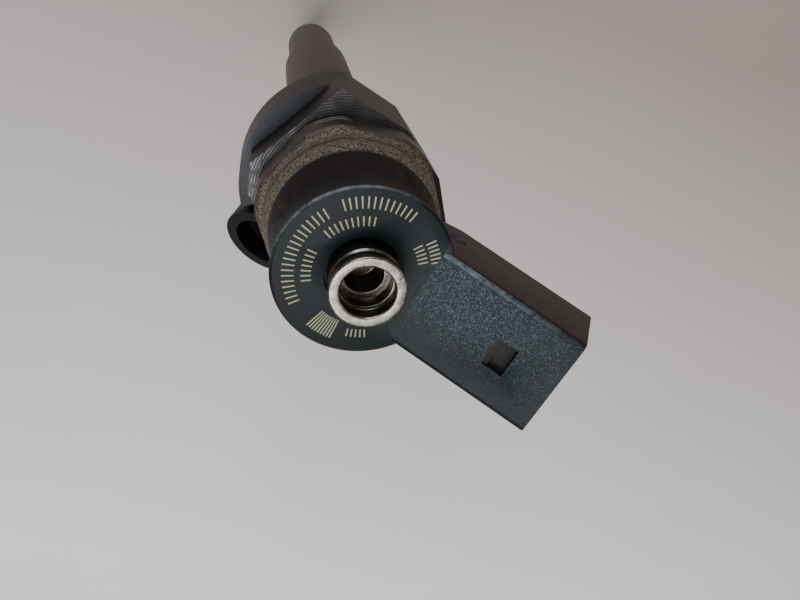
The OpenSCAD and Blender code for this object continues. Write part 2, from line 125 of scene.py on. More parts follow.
def grid_mesh(name, points, close_u=False, close_v=False, smooth=True):
    """A mesh from a grid of points (rows, columns, 3): each cell of the grid is one face, and
    a closed direction joins its last row or column back to its first."""
    rows, columns = points.shape[:2]
    u = np.arange(rows if close_u else rows - 1)
    v = np.arange(columns if close_v else columns - 1)
    u, v = np.meshgrid(u, v, indexing="ij")
    up, vp = (u + 1) % rows, (v + 1) % columns
    faces = np.stack([u * columns + v, up * columns + v, up * columns + vp, u * columns + vp], -1)
    mesh = bpy.data.meshes.new(name)
    mesh.from_pydata(points.reshape(-1, 3), [], faces.reshape(-1, 4))
    mesh.polygons.foreach_set("use_smooth", np.full(len(mesh.polygons), smooth))
    mesh.update()
    made = bpy.data.objects.new(name, mesh)
    bpy.context.scene.collection.objects.link(made)
    return made


floor_z = cad_box[0].z - 0.5 * MM
floor_half = 1.5
floor_steps = np.linspace(-floor_half, floor_half, 5)
floor_x, floor_y = np.meshgrid(floor_steps, floor_steps, indexing="ij")
floor_points = np.stack([floor_x, floor_y, np.full_like(floor_x, floor_z)], -1)
floor = grid_mesh("table_top", floor_points)
floor.data.materials.append(painted_board())


cap_rise = 14 * MM                                # cap's flat top above the solenoid nut's top
cap_top_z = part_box("solenoid_nut")[1].z + cap_rise
cap_centre = Vector((0, 0, cap_top_z))


def towards(azimuth, elevation):
    """Unit vector from the injector at an azimuth from +X and an elevation, in degrees."""
    a, e = math.radians(azimuth), math.radians(elevation)
    return Vector((math.cos(a) * math.cos(e), math.sin(a) * math.cos(e), math.sin(e)))


def soft_light(name, azimuth, elevation, distance, size, power, colour):
    """A square area light that faces the cap's middle: angles in degrees, power in watts."""
    lamp = bpy.data.lights.new(name, "AREA")
    lamp.size = size
    lamp.energy = power
    lamp.color = linear(colour)[:3]
    holder = bpy.data.objects.new(name, lamp)
    holder.location = cap_centre + towards(azimuth, elevation) * distance
    holder.rotation_mode = "QUATERNION"
    holder.rotation_quaternion = (-towards(azimuth, elevation)).to_track_quat("-Z", "Y")
    bpy.context.scene.collection.objects.link(holder)


soft_light("ceiling_light", -95, 66, 0.8, 0.6, 7, "#fbf9fa")
soft_light("window_light", 126, 30, 0.7, 0.35, 3, "#eaf1ff")
soft_light("warm_fill", 20, 35, 0.9, 0.7, 1.5, "#ffe4d0")

room = bpy.data.worlds.new("room")
room.use_nodes = True
walls = room.node_tree.nodes["Background"]
walls.inputs["Color"].default_value = linear("#c4c2c4")
walls.inputs["Strength"].default_value = 0.4
bpy.context.scene.world = room

lens = bpy.data.cameras.new("camera")
lens.sensor_width = 36.0
lens.lens = 33.036
lens.clip_start = 0.005
camera = bpy.data.objects.new("camera", lens)
camera_distance = 101.92 * MM                     # from the middle of the cap's top
camera.location = cap_centre + towards(130.35, 61.69) * camera_distance
camera.rotation_mode = "QUATERNION"
backwards = towards(134.83, 59.04)                # out of the back of the camera
roll = Quaternion((0, 0, 1), math.radians(163.13))
camera.rotation_quaternion = (-backwards).to_track_quat("-Z", "Y") @ roll
bpy.context.scene.collection.objects.link(camera)
bpy.context.scene.camera = camera


# ---- Holder body ----
# The holder is forged and then turned and milled from alloy steel, and phosphated dark grey.
# The lathe leaves fine bright rings on every face square to the axis; the upright walls are
# painted brown, a painted reflection of the warm table.

def phosphated_steel(top, inlet_azimuth):
    """Zinc-phosphated steel: dark and half matte, with the tool's rings on its turned faces,
    strongest on the top one, and blacker towards the inlet's mouth."""
    finish, tree, shader, place = start_finish("phosphated_steel", "#2e2f30", 0.6, 0.45)
    # Rings: a sine of the distance from the axis, on faces square to it, strongest on the top.
    flat = add(tree, "VectorMath", {0: place, 1: (1, 1, 0)}, operation="MULTIPLY")
    radius = add(tree, "VectorMath", {0: flat.outputs[0]}, operation="LENGTH").outputs["Value"]
    feed = 0.46 * MM                              # lathe's feed per turn, drawn coarse to show
    turns = add(tree, "Math", {0: radius, 1: 2 * math.pi / feed}, operation="MULTIPLY")
    ring = add(tree, "Math", {0: turns.outputs[0]}, operation="SINE").outputs[0]
    facing = add(tree, "SeparateXYZ", {0: add(tree, "NewGeometry").outputs["Normal"]})
    level = add(tree, "MapRange", {
        "Value": facing.outputs["Z"], "From Min": 0.9, "From Max": 0.99}).outputs[0]
    height = add(tree, "SeparateXYZ", {0: place}).outputs["Z"]
    fresh = add(tree, "MapRange", {
        "Value": height, "From Min": top - 2 * MM,
        "From Max": top - 1 * MM, "To Min": 0.06}).outputs[0]
    cutting = add(tree, "Math", {0: level, 1: fresh}, operation="MULTIPLY").outputs[0]
    blotch = add(tree, "TexNoise", {"Vector": place, "Scale": 1 / (3 * MM), "Detail": 6.0,
                                    "Roughness": 0.65}).outputs[0]
    speck = add(tree, "TexNoise", {"Vector": place, "Scale": 1 / (0.35 * MM),
                                   "Detail": 4.0}).outputs[0]
    # Their crests are torn into short bright streaks.
    crest = add(tree, "MapRange", {"Value": ring, "From Min": 0.35, "From Max": 0.95}).outputs[0]
    torn = add(tree, "MapRange", {"Value": blotch, "From Min": 0.42, "From Max": 0.62}).outputs[0]
    crest = add(tree, "Math", {0: crest, 1: torn}, operation="MULTIPLY").outputs[0]
    crest = add(tree, "Math", {0: crest, 1: cutting}, operation="MULTIPLY").outputs[0]
    # Walls in a painted brown reflection of the table, grey top face, bluer ledges below it, and
    # black towards the inlet's mouth.
    wall = add(tree, "Mix", {0: blotch, 6: linear("#14110f"), 7: linear("#312925")},
               data_type="RGBA")
    face = add(tree, "Mix", {0: blotch, 6: linear("#292a2c"), 7: linear("#514e4d")},
               data_type="RGBA")
    face = add(tree, "Mix", {0: fresh, 6: linear("#24292f"), 7: face.outputs[2]}, data_type="RGBA")
    body = add(tree, "Mix", {0: level, 6: wall.outputs[2], 7: face.outputs[2]}, data_type="RGBA")
    out = (math.cos(math.radians(inlet_azimuth)), math.sin(math.radians(inlet_azimuth)), 0)
    inlet = add(tree, "VectorMath", {0: place, 1: out}, operation="DOT_PRODUCT").outputs["Value"]
    inlet = add(tree, "MapRange", {
        "Value": inlet, "From Min": 11 * MM, "From Max": 15 * MM}).outputs[0]
    body = add(tree, "Mix", {0: inlet, 6: body.outputs[2], 7: linear("#151515")}, data_type="RGBA")
    bright = add(tree, "Mix", {0: crest, 6: body.outputs[2], 7: linear("#7a7772")},
                 data_type="RGBA")
    tree.links.new(bright.outputs[2], shader.inputs["Base Color"])
    rough = add(tree, "MapRange", {"Value": speck, "To Min": 0.34, "To Max": 0.56}).outputs[0]
    rough = add(tree, "Math", {0: rough, 1: crest}, operation="SUBTRACT").outputs[0]
    rough = add(tree, "Math", {0: rough, 1: 0.24}, operation="MAXIMUM").outputs[0]
    tree.links.new(rough, shader.inputs["Roughness"])
    cut = add(tree, "Math", {0: ring, 1: cutting}, operation="MULTIPLY").outputs[0]
    rings = add(tree, "Bump", {"Height": cut, "Strength": 0.4, "Distance": 0.02 * MM})
    pits = add(tree, "Bump", {"Height": speck, "Strength": 0.35, "Distance": 0.03 * MM,
                              "Normal": rings.outputs[0]})
    tree.links.new(pits.outputs[0], shader.inputs["Normal"])
    return finish


def dress(name, finish):
    """Gives a CAD node a finish in place of its own."""
    nodes[name].data.materials.clear()
    nodes[name].data.materials.append(finish)


head_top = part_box("solenoid_nut")[0].z - 0.4 * MM  # head's top face, just under the nut
inlet_azimuth = 244
dress("holder_body", phosphated_steel(head_top, inlet_azimuth))


# ---- Nozzle end ----
# The nozzle nut is a long turned steel sleeve, sooty and brown from the engine. It clamps the
# ground nozzle body to the holder and squeezes a copper washer on the cylinder head.

def filleted(corners):
    """A profile through [radius, height, fillet] corners in millimetres, closed on itself: a
    corner with a fillet becomes an arc tangent to both of its sides, whose centre lies fillet
    over the sine of half the corner's angle along the line that halves it. The arc's points are
    turned evenly from its start to its end, and a corner with no fillet is one point."""
    rows = np.array([[*corner, 0][:3] for corner in corners], float)
    here, fillet = rows[:, :2], rows[:, 2:]
    to_before = np.roll(here, 1, axis=0) - here
    to_after = np.roll(here, -1, axis=0) - here
    to_before /= np.linalg.norm(to_before, axis=1, keepdims=True)
    to_after /= np.linalg.norm(to_after, axis=1, keepdims=True)
    half = 0.5 * np.arccos((to_before * to_after).sum(axis=1, keepdims=True))
    middle = to_before + to_after
    middle /= np.linalg.norm(middle, axis=1, keepdims=True)
    centre = here + middle * fillet / np.sin(half)
    start = here + to_before * fillet / np.tan(half) - centre
    end = here + to_after * fillet / np.tan(half) - centre
    sweep = (math.pi - 2 * half)[:, None]
    share = np.linspace(0, 1, 7)[:, None]
    from_start, from_end = np.sin((1 - share) * sweep), np.sin(share * sweep)
    arcs = centre[:, None] + (from_start * start[:, None] + from_end * end[:, None]) / np.sin(sweep)
    drawn = (fillet > 0) | (np.arange(len(share)) == 0)
    return arcs[drawn] * MM


def turned_piece(name, corners, around=160):
    """A turned piece: the filleted profile carried round the axis, closed both ways."""
    profile = filleted(corners)
    turn = np.linspace(0, 2 * math.pi, around, endpoint=False)[:, None]
    radius, height = profile[None, :, 0], profile[None, :, 1]
    points = np.stack([radius * np.cos(turn), radius * np.sin(turn), height + 0 * turn], -1)
    return grid_mesh(name, points, close_u=True, close_v=True)


def fit_piece(piece, finish, slot, *replaced):
    """Finishes a new piece, fixes it to the housing, and lets it stand for its CAD nodes."""
    piece.data.materials.append(finish)
    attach(piece, "housing")
    if replaced:
        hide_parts(*replaced)


def sooty_steel():
    """Steel that has sat in the cylinder head: brown-grey and matte, with specks of soot."""
    finish, tree, shader, place = start_finish("sooty_steel", "#7a6c64", 0.55, 0.5)
    cloud = add(tree, "TexNoise", {"Vector": place, "Scale": 1 / (6 * MM), "Detail": 7.0,
                                   "Roughness": 0.6}).outputs[0]
    soot = add(tree, "TexNoise", {"Vector": place, "Scale": 1 / (0.8 * MM),
                                  "Detail": 5.0}).outputs[0]
    grain = add(tree, "TexNoise", {"Vector": place, "Scale": 1 / (0.15 * MM),
                                   "Detail": 2.0}).outputs[0]
    tone = add(tree, "Mix", {0: cloud, 6: linear("#39322f"), 7: linear("#6b605a")},
               data_type="RGBA")
    black = add(tree, "MapRange", {
        "Value": soot, "From Min": 0.6, "From Max": 0.72, "To Max": 0.65})
    tone = add(tree, "Mix", {0: black.outputs[0], 6: tone.outputs[2], 7: linear("#1a1716")},
               data_type="RGBA")
    tree.links.new(tone.outputs[2], shader.inputs["Base Color"])
    rough = add(tree, "MapRange", {"Value": cloud, "To Min": 0.4, "To Max": 0.62}).outputs[0]
    tree.links.new(rough, shader.inputs["Roughness"])
    skin = add(tree, "Bump", {"Height": grain, "Strength": 0.25, "Distance": 0.02 * MM})
    tree.links.new(skin.outputs[0], shader.inputs["Normal"])
    return finish


def ground_steel():
    """Hardened and ground steel: bright, with fine hoop-wise grinding lines and a straw tint."""
    finish, tree, shader, place = start_finish("ground_steel", "#a3a19c", 1.0, 0.3)
    stretch = add(tree, "Mapping", {"Vector": place, "Scale": (1, 1, 12)})
    lines = add(tree, "TexNoise", {"Vector": stretch.outputs[0], "Scale": 1 / (1.2 * MM),
                                   "Detail": 5.0}).outputs[0]
    tint = add(tree, "Mix", {0: lines, 6: linear("#8d8a84"), 7: linear("#bcbab5")},
               data_type="RGBA")
    tree.links.new(tint.outputs[2], shader.inputs["Base Color"])
    rough = add(tree, "MapRange", {"Value": lines, "To Min": 0.2, "To Max": 0.42}).outputs[0]
    tree.links.new(rough, shader.inputs["Roughness"])
    skin = add(tree, "Bump", {"Height": lines, "Strength": 0.2, "Distance": 0.01 * MM})
    tree.links.new(skin.outputs[0], shader.inputs["Normal"])
    return finish


def annealed_copper():
    """Soft copper: pink-orange, dulled to brown where it has been hot, with faint dents."""
    finish, tree, shader, place = start_finish("annealed_copper", "#b5714c", 1.0, 0.38)
    heat = add(tree, "TexNoise", {"Vector": place, "Scale": 1 / (2.5 * MM),
                                  "Detail": 5.0}).outputs[0]
    tint = add(tree, "Mix", {0: heat, 6: linear("#7c4a32"), 7: linear("#cf8a63")}, data_type="RGBA")
    tree.links.new(tint.outputs[2], shader.inputs["Base Color"])
    dents = add(tree, "Bump", {"Height": heat, "Strength": 0.3, "Distance": 0.05 * MM})
    tree.links.new(dents.outputs[0], shader.inputs["Normal"])
    return finish


def box_sizes(name):
    """Outer radius, lowest and highest point of a round CAD node, in millimetres."""
    low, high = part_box(name)
    return (high.y - low.y) / 2 / MM, low.z / MM, high.z / MM


copper = annealed_copper()
ground = ground_steel()
sleeve_r, sleeve_low, sleeve_high = box_sizes("nozzle_nut")
sleeve_neck_r = 7.3                               # below the step
sleeve_step = 35.0
thread_r = 7.0                                    # bore above the step
body_r = 4.8                                      # bore round the nozzle body
shaft_r = 3.8                                     # hole that the nozzle's shaft comes out of
nozzle_nut = turned_piece("nozzle_nut_sleeve", [
    [sleeve_neck_r, sleeve_low, 0.6], [sleeve_neck_r, sleeve_step - 1.6, 1.0],
    [sleeve_r, sleeve_step + 1.4, 1.0], [sleeve_r, sleeve_high, 0.5], [thread_r, sleeve_high],
    [thread_r, sleeve_step + 1], [body_r, sleeve_step + 1], [body_r, sleeve_low + 2],
    [shaft_r, sleeve_low + 2], [shaft_r, sleeve_low]
])
fit_piece(nozzle_nut, sooty_steel(), "nozzle_nut_steel", "nozzle_nut")

washer_r, washer_low, washer_high = box_sizes("sealing_washer")
washer_hole_r = 3.75
washer = turned_piece("copper_washer", [
    [washer_r, washer_low, 0.45], [washer_r, washer_high, 0.45],
    [washer_hole_r, washer_high, 0.3], [washer_hole_r, washer_low, 0.3]
])
fit_piece(washer, copper, "copper", "sealing_washer")
dress("nozzle_body", ground)


# ---- Parts inside the nozzle and the holder ----
# Needle, plunger, dowels, shims and valve parts are hardened and ground; the springs are oiled
# carbon-steel wire; the valve piece's seal is a soft copper ring.

def oiled_spring_wire():
    """Drawn spring wire under oil: dark blue-grey and smooth, lighter where the film is thin."""
    finish, tree, shader, place = start_finish("oiled_spring_wire", "#5b5f66", 1.0, 0.3)
    film = add(tree, "TexNoise", {"Vector": place, "Scale": 1 / (0.9 * MM),
                                  "Detail": 4.0}).outputs[0]
    tint = add(tree, "Mix", {0: film, 6: linear("#474b52"), 7: linear("#757a80")}, data_type="RGBA")
    tree.links.new(tint.outputs[2], shader.inputs["Base Color"])
    return finish


wire = oiled_spring_wire()
for part in ["inlet_filter", "nozzle_needle", "needle_spring_seat", "needle_spring_shim",
             "locating_pins", "control_plunger", "valve_piece", "valve_clamp_screw", "valve_ball",
             "ball_guide", "armature_guide", "armature_pin", "lift_ring", "valve_spring_shim",
             "magnet_sleeve", "magnet_cover_disc"]:
    dress(part, ground)
for part in ["needle_spring", "armature_spring", "valve_spring", "armature_clip"]:
    dress(part, wire)
dress("valve_seal_ring", copper)


# ---- Magnet ----
# The pot core and the armature plate are pressed soft iron. The coil is enamelled copper wire
# wound on a moulded reel of natural polyamide, and rubber rings keep fuel in.

def pressed_iron():
    """Pressed soft-magnetic iron: dull grey, with the powder's grain showing."""
    finish, tree, shader, place = start_finish("pressed_iron", "#4a4a4b", 0.8, 0.55)
    grain = add(tree, "TexNoise", {"Vector": place, "Scale": 1 / (0.3 * MM),
                                   "Detail": 3.0}).outputs[0]
    tint = add(tree, "Mix", {0: grain, 6: linear("#39393a"), 7: linear("#5f5f60")},
               data_type="RGBA")
    tree.links.new(tint.outputs[2], shader.inputs["Base Color"])
    skin = add(tree, "Bump", {"Height": grain, "Strength": 0.3, "Distance": 0.02 * MM})
    tree.links.new(skin.outputs[0], shader.inputs["Normal"])
    return finish


def enamelled_winding():
    """Enamelled copper wire: glossy red-brown turns stacked up the coil."""
    finish, tree, shader, place = start_finish("enamelled_winding", "#a04a20", 0.9, 0.25)
    turn_pitch = 0.28 * MM
    height = add(tree, "SeparateXYZ", {0: place}).outputs["Z"]
    turns = add(tree, "Math", {0: height, 1: 2 * math.pi / turn_pitch}, operation="MULTIPLY")
    wave = add(tree, "Math", {0: turns.outputs[0]}, operation="SINE").outputs[0]
    shade = add(tree, "MapRange", {"Value": wave, "From Min": -1.0}).outputs[0]
    tint = add(tree, "Mix", {0: shade, 6: linear("#5a2410"), 7: linear("#b85a2a")},
               data_type="RGBA")
    tree.links.new(tint.outputs[2], shader.inputs["Base Color"])
    ridges = add(tree, "Bump", {"Height": wave, "Strength": 0.6, "Distance": 0.05 * MM})
    tree.links.new(ridges.outputs[0], shader.inputs["Normal"])
    return finish


def natural_polyamide():
    """Uncoloured polyamide: creamy and slightly waxy, with faint flow marks."""
    finish, tree, shader, place = start_finish("natural_polyamide", "#cdbf97", 0.0, 0.45)
    flow = add(tree, "TexNoise", {"Vector": place, "Scale": 1 / (2 * MM), "Detail": 2.0,
                                  "Distortion": 1.0}).outputs[0]
    tint = add(tree, "Mix", {0: flow, 6: linear("#c1b28a"), 7: linear("#d8cba6")}, data_type="RGBA")
    tree.links.new(tint.outputs[2], shader.inputs["Base Color"])
    return finish


def seal_rubber():
    """Fluorocarbon rubber: black and matte, with a film of oil that makes it patchy."""
    finish, tree, shader, place = start_finish("seal_rubber", "#161616", 0.0, 0.55)
    film = add(tree, "TexNoise", {"Vector": place, "Scale": 1 / (1.5 * MM),
                                  "Detail": 3.0}).outputs[0]
    rough = add(tree, "MapRange", {"Value": film, "To Min": 0.35, "To Max": 0.7}).outputs[0]
    tree.links.new(rough, shader.inputs["Roughness"])
    return finish


iron = pressed_iron()
rubber = seal_rubber()
dress("magnet_core", iron)
dress("armature_plate", iron)
dress("coil_winding", enamelled_winding())
dress("coil_bobbin", natural_polyamide())
dress("magnet_o_ring", rubber)
dress("stub_o_ring", rubber)


# ---- Solenoid nut ----
# The hexagon nut is turned and milled steel with a thin brown oxide. Road salt has pitted its
# collar to a grey-beige crust with orange rust at the crust's edge, and one flat carries painted
# highlights, bright lines across it near its foot.

def oxidised_nut_steel(low, collar_low, high, highlight_angle):
    """Black-brown oxide on steel, with a pitted crust on the collar that a bare line splits,
    rust at the crust's edge, and painted highlights: bright lines across one flat near its foot."""
    finish, tree, shader, place = start_finish("oxidised_nut_steel", "#3a322d", 0.35, 0.5)
    axes = add(tree, "SeparateXYZ", {0: place})
    cloud = add(tree, "TexNoise", {"Vector": place, "Scale": 1 / (2.2 * MM), "Detail": 7.0,
                                   "Roughness": 0.65}).outputs[0]
    crust = add(tree, "TexNoise", {"Vector": place, "Scale": 1 / (0.26 * MM), "Detail": 5.0,
                                   "Roughness": 0.7}).outputs[0]
    oxide = add(tree, "Mix", {0: cloud, 6: linear("#1b1816"), 7: linear("#3d342e")},
                data_type="RGBA")
    # The crust's band lies on the collar, wavers at its lower edge and is thin at the top.
    wander = add(tree, "MapRange", {
        "Value": cloud, "To Min": -1.3 * MM, "To Max": 1.3 * MM}).outputs[0]
    height = add(tree, "Math", {0: axes.outputs["Z"], 1: wander}, operation="ADD").outputs[0]
    on_collar = add(tree, "MapRange", {
        "Value": height, "From Min": collar_low - 0.8 * MM,
        "From Max": collar_low + 0.3 * MM}).outputs[0]
    off_top = add(tree, "MapRange", {
        "Value": height, "From Min": high - 0.2 * MM, "From Max": high + 0.9 * MM,
        "To Min": 1.0, "To Max": 0.2}).outputs[0]
    band = add(tree, "Math", {0: on_collar, 1: off_top}, operation="MULTIPLY").outputs[0]
    # The crust is dark in its pits and along a bare line round the collar.
    pitted = add(tree, "MapRange", {"Value": crust, "From Min": 0.44, "From Max": 0.56}).outputs[0]
    split = add(tree, "Math", {0: height, 1: (collar_low + high) / 2 - 0.4 * MM},
                operation="SUBTRACT")
    split = add(tree, "Math", {0: split.outputs[0]}, operation="ABSOLUTE").outputs[0]
    split = add(tree, "MapRange", {
        "Value": split, "From Min": 0.15 * MM, "From Max": 0.5 * MM, "To Min": 0.25}).outputs[0]
    pitted = add(tree, "Math", {0: pitted, 1: split}, operation="MULTIPLY").outputs[0]
    scale = add(tree, "Mix", {0: pitted, 6: linear("#251c17"), 7: linear("#867b6c")},
                data_type="RGBA")
    tone = add(tree, "Mix", {0: band, 6: oxide.outputs[2], 7: scale.outputs[2]}, data_type="RGBA")
    # Rust shows in patches where the band fades in.
    edge = add(tree, "MapRange", {"Value": band, "From Min": 0.0, "From Max": 0.5}).outputs[0]
    fade = add(tree, "MapRange", {
        "Value": band, "From Min": 0.55, "From Max": 1.0, "To Min": 1.0, "To Max": 0.12}).outputs[0]
    rim = add(tree, "Math", {0: edge, 1: fade}, operation="MULTIPLY").outputs[0]
    rusty = add(tree, "MapRange", {"Value": cloud, "From Min": 0.45, "From Max": 0.62}).outputs[0]
    rim = add(tree, "Math", {0: rim, 1: rusty}, operation="MULTIPLY").outputs[0]
    rust = add(tree, "Mix", {0: crust, 6: linear("#2c1a12"), 7: linear("#5c3d28")},
               data_type="RGBA")
    tone = add(tree, "Mix", {0: rim, 6: tone.outputs[2], 7: rust.outputs[2]}, data_type="RGBA")
    # Painted highlight lines: a sine up one flat, kept near one azimuth and to the flat's foot.
    angle = add(tree, "Math", {0: axes.outputs["Y"], 1: axes.outputs["X"]}, operation="ARCTAN2")
    off = add(tree, "Math", {0: angle.outputs[0], 1: highlight_angle}, operation="SUBTRACT")
    off = add(tree, "Math", {0: off.outputs[0]}, operation="ABSOLUTE").outputs[0]
    near = add(tree, "MapRange", {
        "Value": off, "From Min": 0.13, "From Max": 0.22, "To Min": 1.0, "To Max": 0.0}).outputs[0]
    pitch = 0.95 * MM                             # of the painted highlight lines, up the flat
    step = add(tree, "Math", {0: axes.outputs["Z"], 1: 2 * math.pi / pitch}, operation="MULTIPLY")
    highlight_lines = add(tree, "Math", {0: step.outputs[0]}, operation="SINE").outputs[0]
    highlight_lines = add(tree, "MapRange", {"Value": highlight_lines, "From Min": 0.72, "From Max": 0.95}).outputs[0]
    foot = add(tree, "MapRange", {
        "Value": axes.outputs["Z"], "From Min": low + 2.7 * MM, "From Max": low + 3.0 * MM,
        "To Min": 1.0, "To Max": 0.0}).outputs[0]
    highlight_lines = add(tree, "Math", {0: highlight_lines, 1: near}, operation="MULTIPLY").outputs[0]
    highlight_lines = add(tree, "Math", {0: highlight_lines, 1: foot}, operation="MULTIPLY").outputs[0]
    tone = add(tree, "Mix", {0: highlight_lines, 6: tone.outputs[2], 7: linear("#d6d0c0")}, data_type="RGBA")
    tree.links.new(tone.outputs[2], shader.inputs["Base Color"])
    rough = add(tree, "MapRange", {"Value": band, "To Min": 0.42, "To Max": 0.72}).outputs[0]
    tree.links.new(rough, shader.inputs["Roughness"])
    depth = add(tree, "Math", {0: crust, 1: band}, operation="MULTIPLY").outputs[0]
    pits = add(tree, "Bump", {"Height": depth, "Strength": 0.9, "Distance": 0.09 * MM})
    skin = add(tree, "Bump", {"Height": crust, "Strength": 0.25, "Distance": 0.02 * MM,
                              "Normal": pits.outputs[0]})
    tree.links.new(skin.outputs[0], shader.inputs["Normal"])
    return finish


def hexagon_nut(name, across, corner_azimuth, profile):
    """A nut: at each point of the profile the radius is the smaller of the hexagon's and the
    turned profile's, blended over a small width where they meet, and the bore stays round."""
    turn = np.linspace(0, 2 * math.pi, 360, endpoint=False)[:, None]
    corner = math.radians(corner_azimuth)
    sector = np.mod(turn - corner, math.pi / 3) - math.pi / 6
    hexagon = across / 2 * MM / np.cos(sector)
    radius, height = profile[None, :, 0], profile[None, :, 1]
    outside = radius > radius.min() + 1 * MM
    blend = 0.12 * MM
    gap = radius - hexagon
    smaller = 0.5 * (radius + hexagon - np.sqrt(gap ** 2 + blend ** 2))
    radius = np.where(outside, smaller, radius + 0 * turn)
    points = np.stack([radius * np.cos(turn), radius * np.sin(turn), height + 0 * turn], -1)
    return grid_mesh(name, points, close_u=True, close_v=True)


_, hex_low, hex_high = box_sizes("solenoid_nut")
hex_across = 29.0
hex_corner_azimuth = 13
# Azimuth of the flat that carries the painted highlight lines.
highlight_azimuth = 128
collar_low = hex_high - 5.6
nut_bore_r = 11.7
corner_r = 15.4                                   # the hexagon's corners are turned to this
nut_profile = filleted([
    [nut_bore_r, hex_low], [14.4, hex_low, 0.2], [corner_r, hex_low + 0.8, 0.3],
    [corner_r, collar_low - 0.5, 0.4], [14.1, collar_low + 0.6, 0.5], [13.9, hex_high - 1.4, 0.6],
    [13.2, hex_high, 0.25], [nut_bore_r, hex_high]
])
solenoid_nut = hexagon_nut("solenoid_nut_hexagon", hex_across, hex_corner_azimuth, nut_profile)
nut_finish = oxidised_nut_steel(
    hex_low * MM, collar_low * MM, hex_high * MM, math.radians(highlight_azimuth))
fit_piece(solenoid_nut, nut_finish, "solenoid_nut_steel", "solenoid_nut")


# ---- Return stub ----
# The leak-off stub is turned steel with bright worn plating. Its bore has a groove for the
# coupling's ring, oil has dried brown inside and under the lip, deepened by painted shade in the
# bore, and the lip has small dents.

def worn_plating(top, dimple_place):
    """Nickel plating worn bright on the lip, with a dried brown film lower down and inside that
    also carries painted shade in the bore, and small dents, one of them a round dimple."""
    finish, tree, shader, place = start_finish("worn_plating", "#c6c1b8", 1.0, 0.28)
    axes = add(tree, "SeparateXYZ", {0: place})
    cloud = add(tree, "TexNoise", {"Vector": place, "Scale": 1 / (1.3 * MM), "Detail": 6.0,
                                   "Roughness": 0.65}).outputs[0]
    fine = add(tree, "TexNoise", {"Vector": place, "Scale": 1 / (0.22 * MM),
                                  "Detail": 3.0}).outputs[0]
    # The dried film lies in clouds below the lip's top; in the bore it also stands for painted
    # shade.
    depth = add(tree, "MapRange", {
        "Value": axes.outputs["Z"], "From Min": top - 1.4 * MM, "From Max": top - 0.2 * MM,
        "To Min": 0.8, "To Max": 0.0}).outputs[0]
    film = add(tree, "MapRange", {"Value": cloud, "From Min": 0.36, "From Max": 0.62}).outputs[0]
    film = add(tree, "Math", {0: film, 1: depth}, operation="MULTIPLY").outputs[0]
    grime = add(tree, "Math", {0: cloud, 1: fine}, operation="ADD").outputs[0]
    grime = add(tree, "MapRange", {"Value": grime, "From Min": 0.75, "From Max": 1.2}).outputs[0]
    steel = add(tree, "Mix", {0: grime, 6: linear("#544f47"), 7: linear("#a09d95")},
                data_type="RGBA")
    tone = add(tree, "Mix", {0: film, 6: steel.outputs[2], 7: linear("#3a2f27")}, data_type="RGBA")
    tree.links.new(tone.outputs[2], shader.inputs["Base Color"])
    rough = add(tree, "MapRange", {"Value": cloud, "To Min": 0.2, "To Max": 0.42}).outputs[0]
    tree.links.new(rough, shader.inputs["Roughness"])
    # The dimple is a drop in the height that the dents come from.
    apart = add(tree, "VectorMath", {0: place, 1: dimple_place}, operation="DISTANCE")
    dimple = add(tree, "MapRange", {
        "Value": apart.outputs["Value"], "From Min": 0.18 * MM, "From Max": 0.34 * MM}).outputs[0]
    worn = add(tree, "Math", {0: cloud, 1: dimple}, operation="ADD").outputs[0]
    dents = add(tree, "Bump", {"Height": worn, "Strength": 0.4, "Distance": 0.06 * MM})
    skin = add(tree, "Bump", {"Height": fine, "Strength": 0.15, "Distance": 0.015 * MM,
                              "Normal": dents.outputs[0]})
    tree.links.new(skin.outputs[0], shader.inputs["Normal"])
    return finish


_, stub_low, stub_top = box_sizes("return_stub")
cap_top = cap_top_z / MM
foot_r = 5.6
stem_r = 5.1
neck_r = 4.8                                      # between the stem and the lip
lip_r = 5.33
bore_r = 3.8
groove_r = bore_r + 0.45                          # for the coupling's ring
passage_r = 2.7
drill_r = 1.6
return_stub = turned_piece("return_stub_turned", [
    [foot_r, stub_low, 0.2], [foot_r, stub_low + 1.8, 0.2], [stem_r, stub_low + 1.8, 0.1],
    [stem_r, cap_top + 2.2, 0.15], [neck_r, cap_top + 2.5, 0.15], [neck_r, cap_top + 4.1, 0.15],
    [lip_r, cap_top + 4.5, 0.15], [lip_r, stub_top, 0.3], [bore_r, stub_top, 0.35],
    [bore_r, stub_top - 2.0, 0.1], [groove_r, stub_top - 2.1, 0.15],
    [groove_r, stub_top - 2.9, 0.15], [bore_r, stub_top - 3.0, 0.1],
    [bore_r, stub_top - 5.2, 0.1], [passage_r, stub_top - 5.2, 0.3],
    [passage_r, stub_low + 2.8, 0.2], [drill_r, stub_low + 2.8, 0.1], [drill_r, stub_low, 0.1]
], around=200)
dimple_place = (3.05 * MM, 3.67 * MM, stub_top * MM)
fit_piece(return_stub, worn_plating(stub_top * MM, dimple_place), "stub_steel", "return_stub")
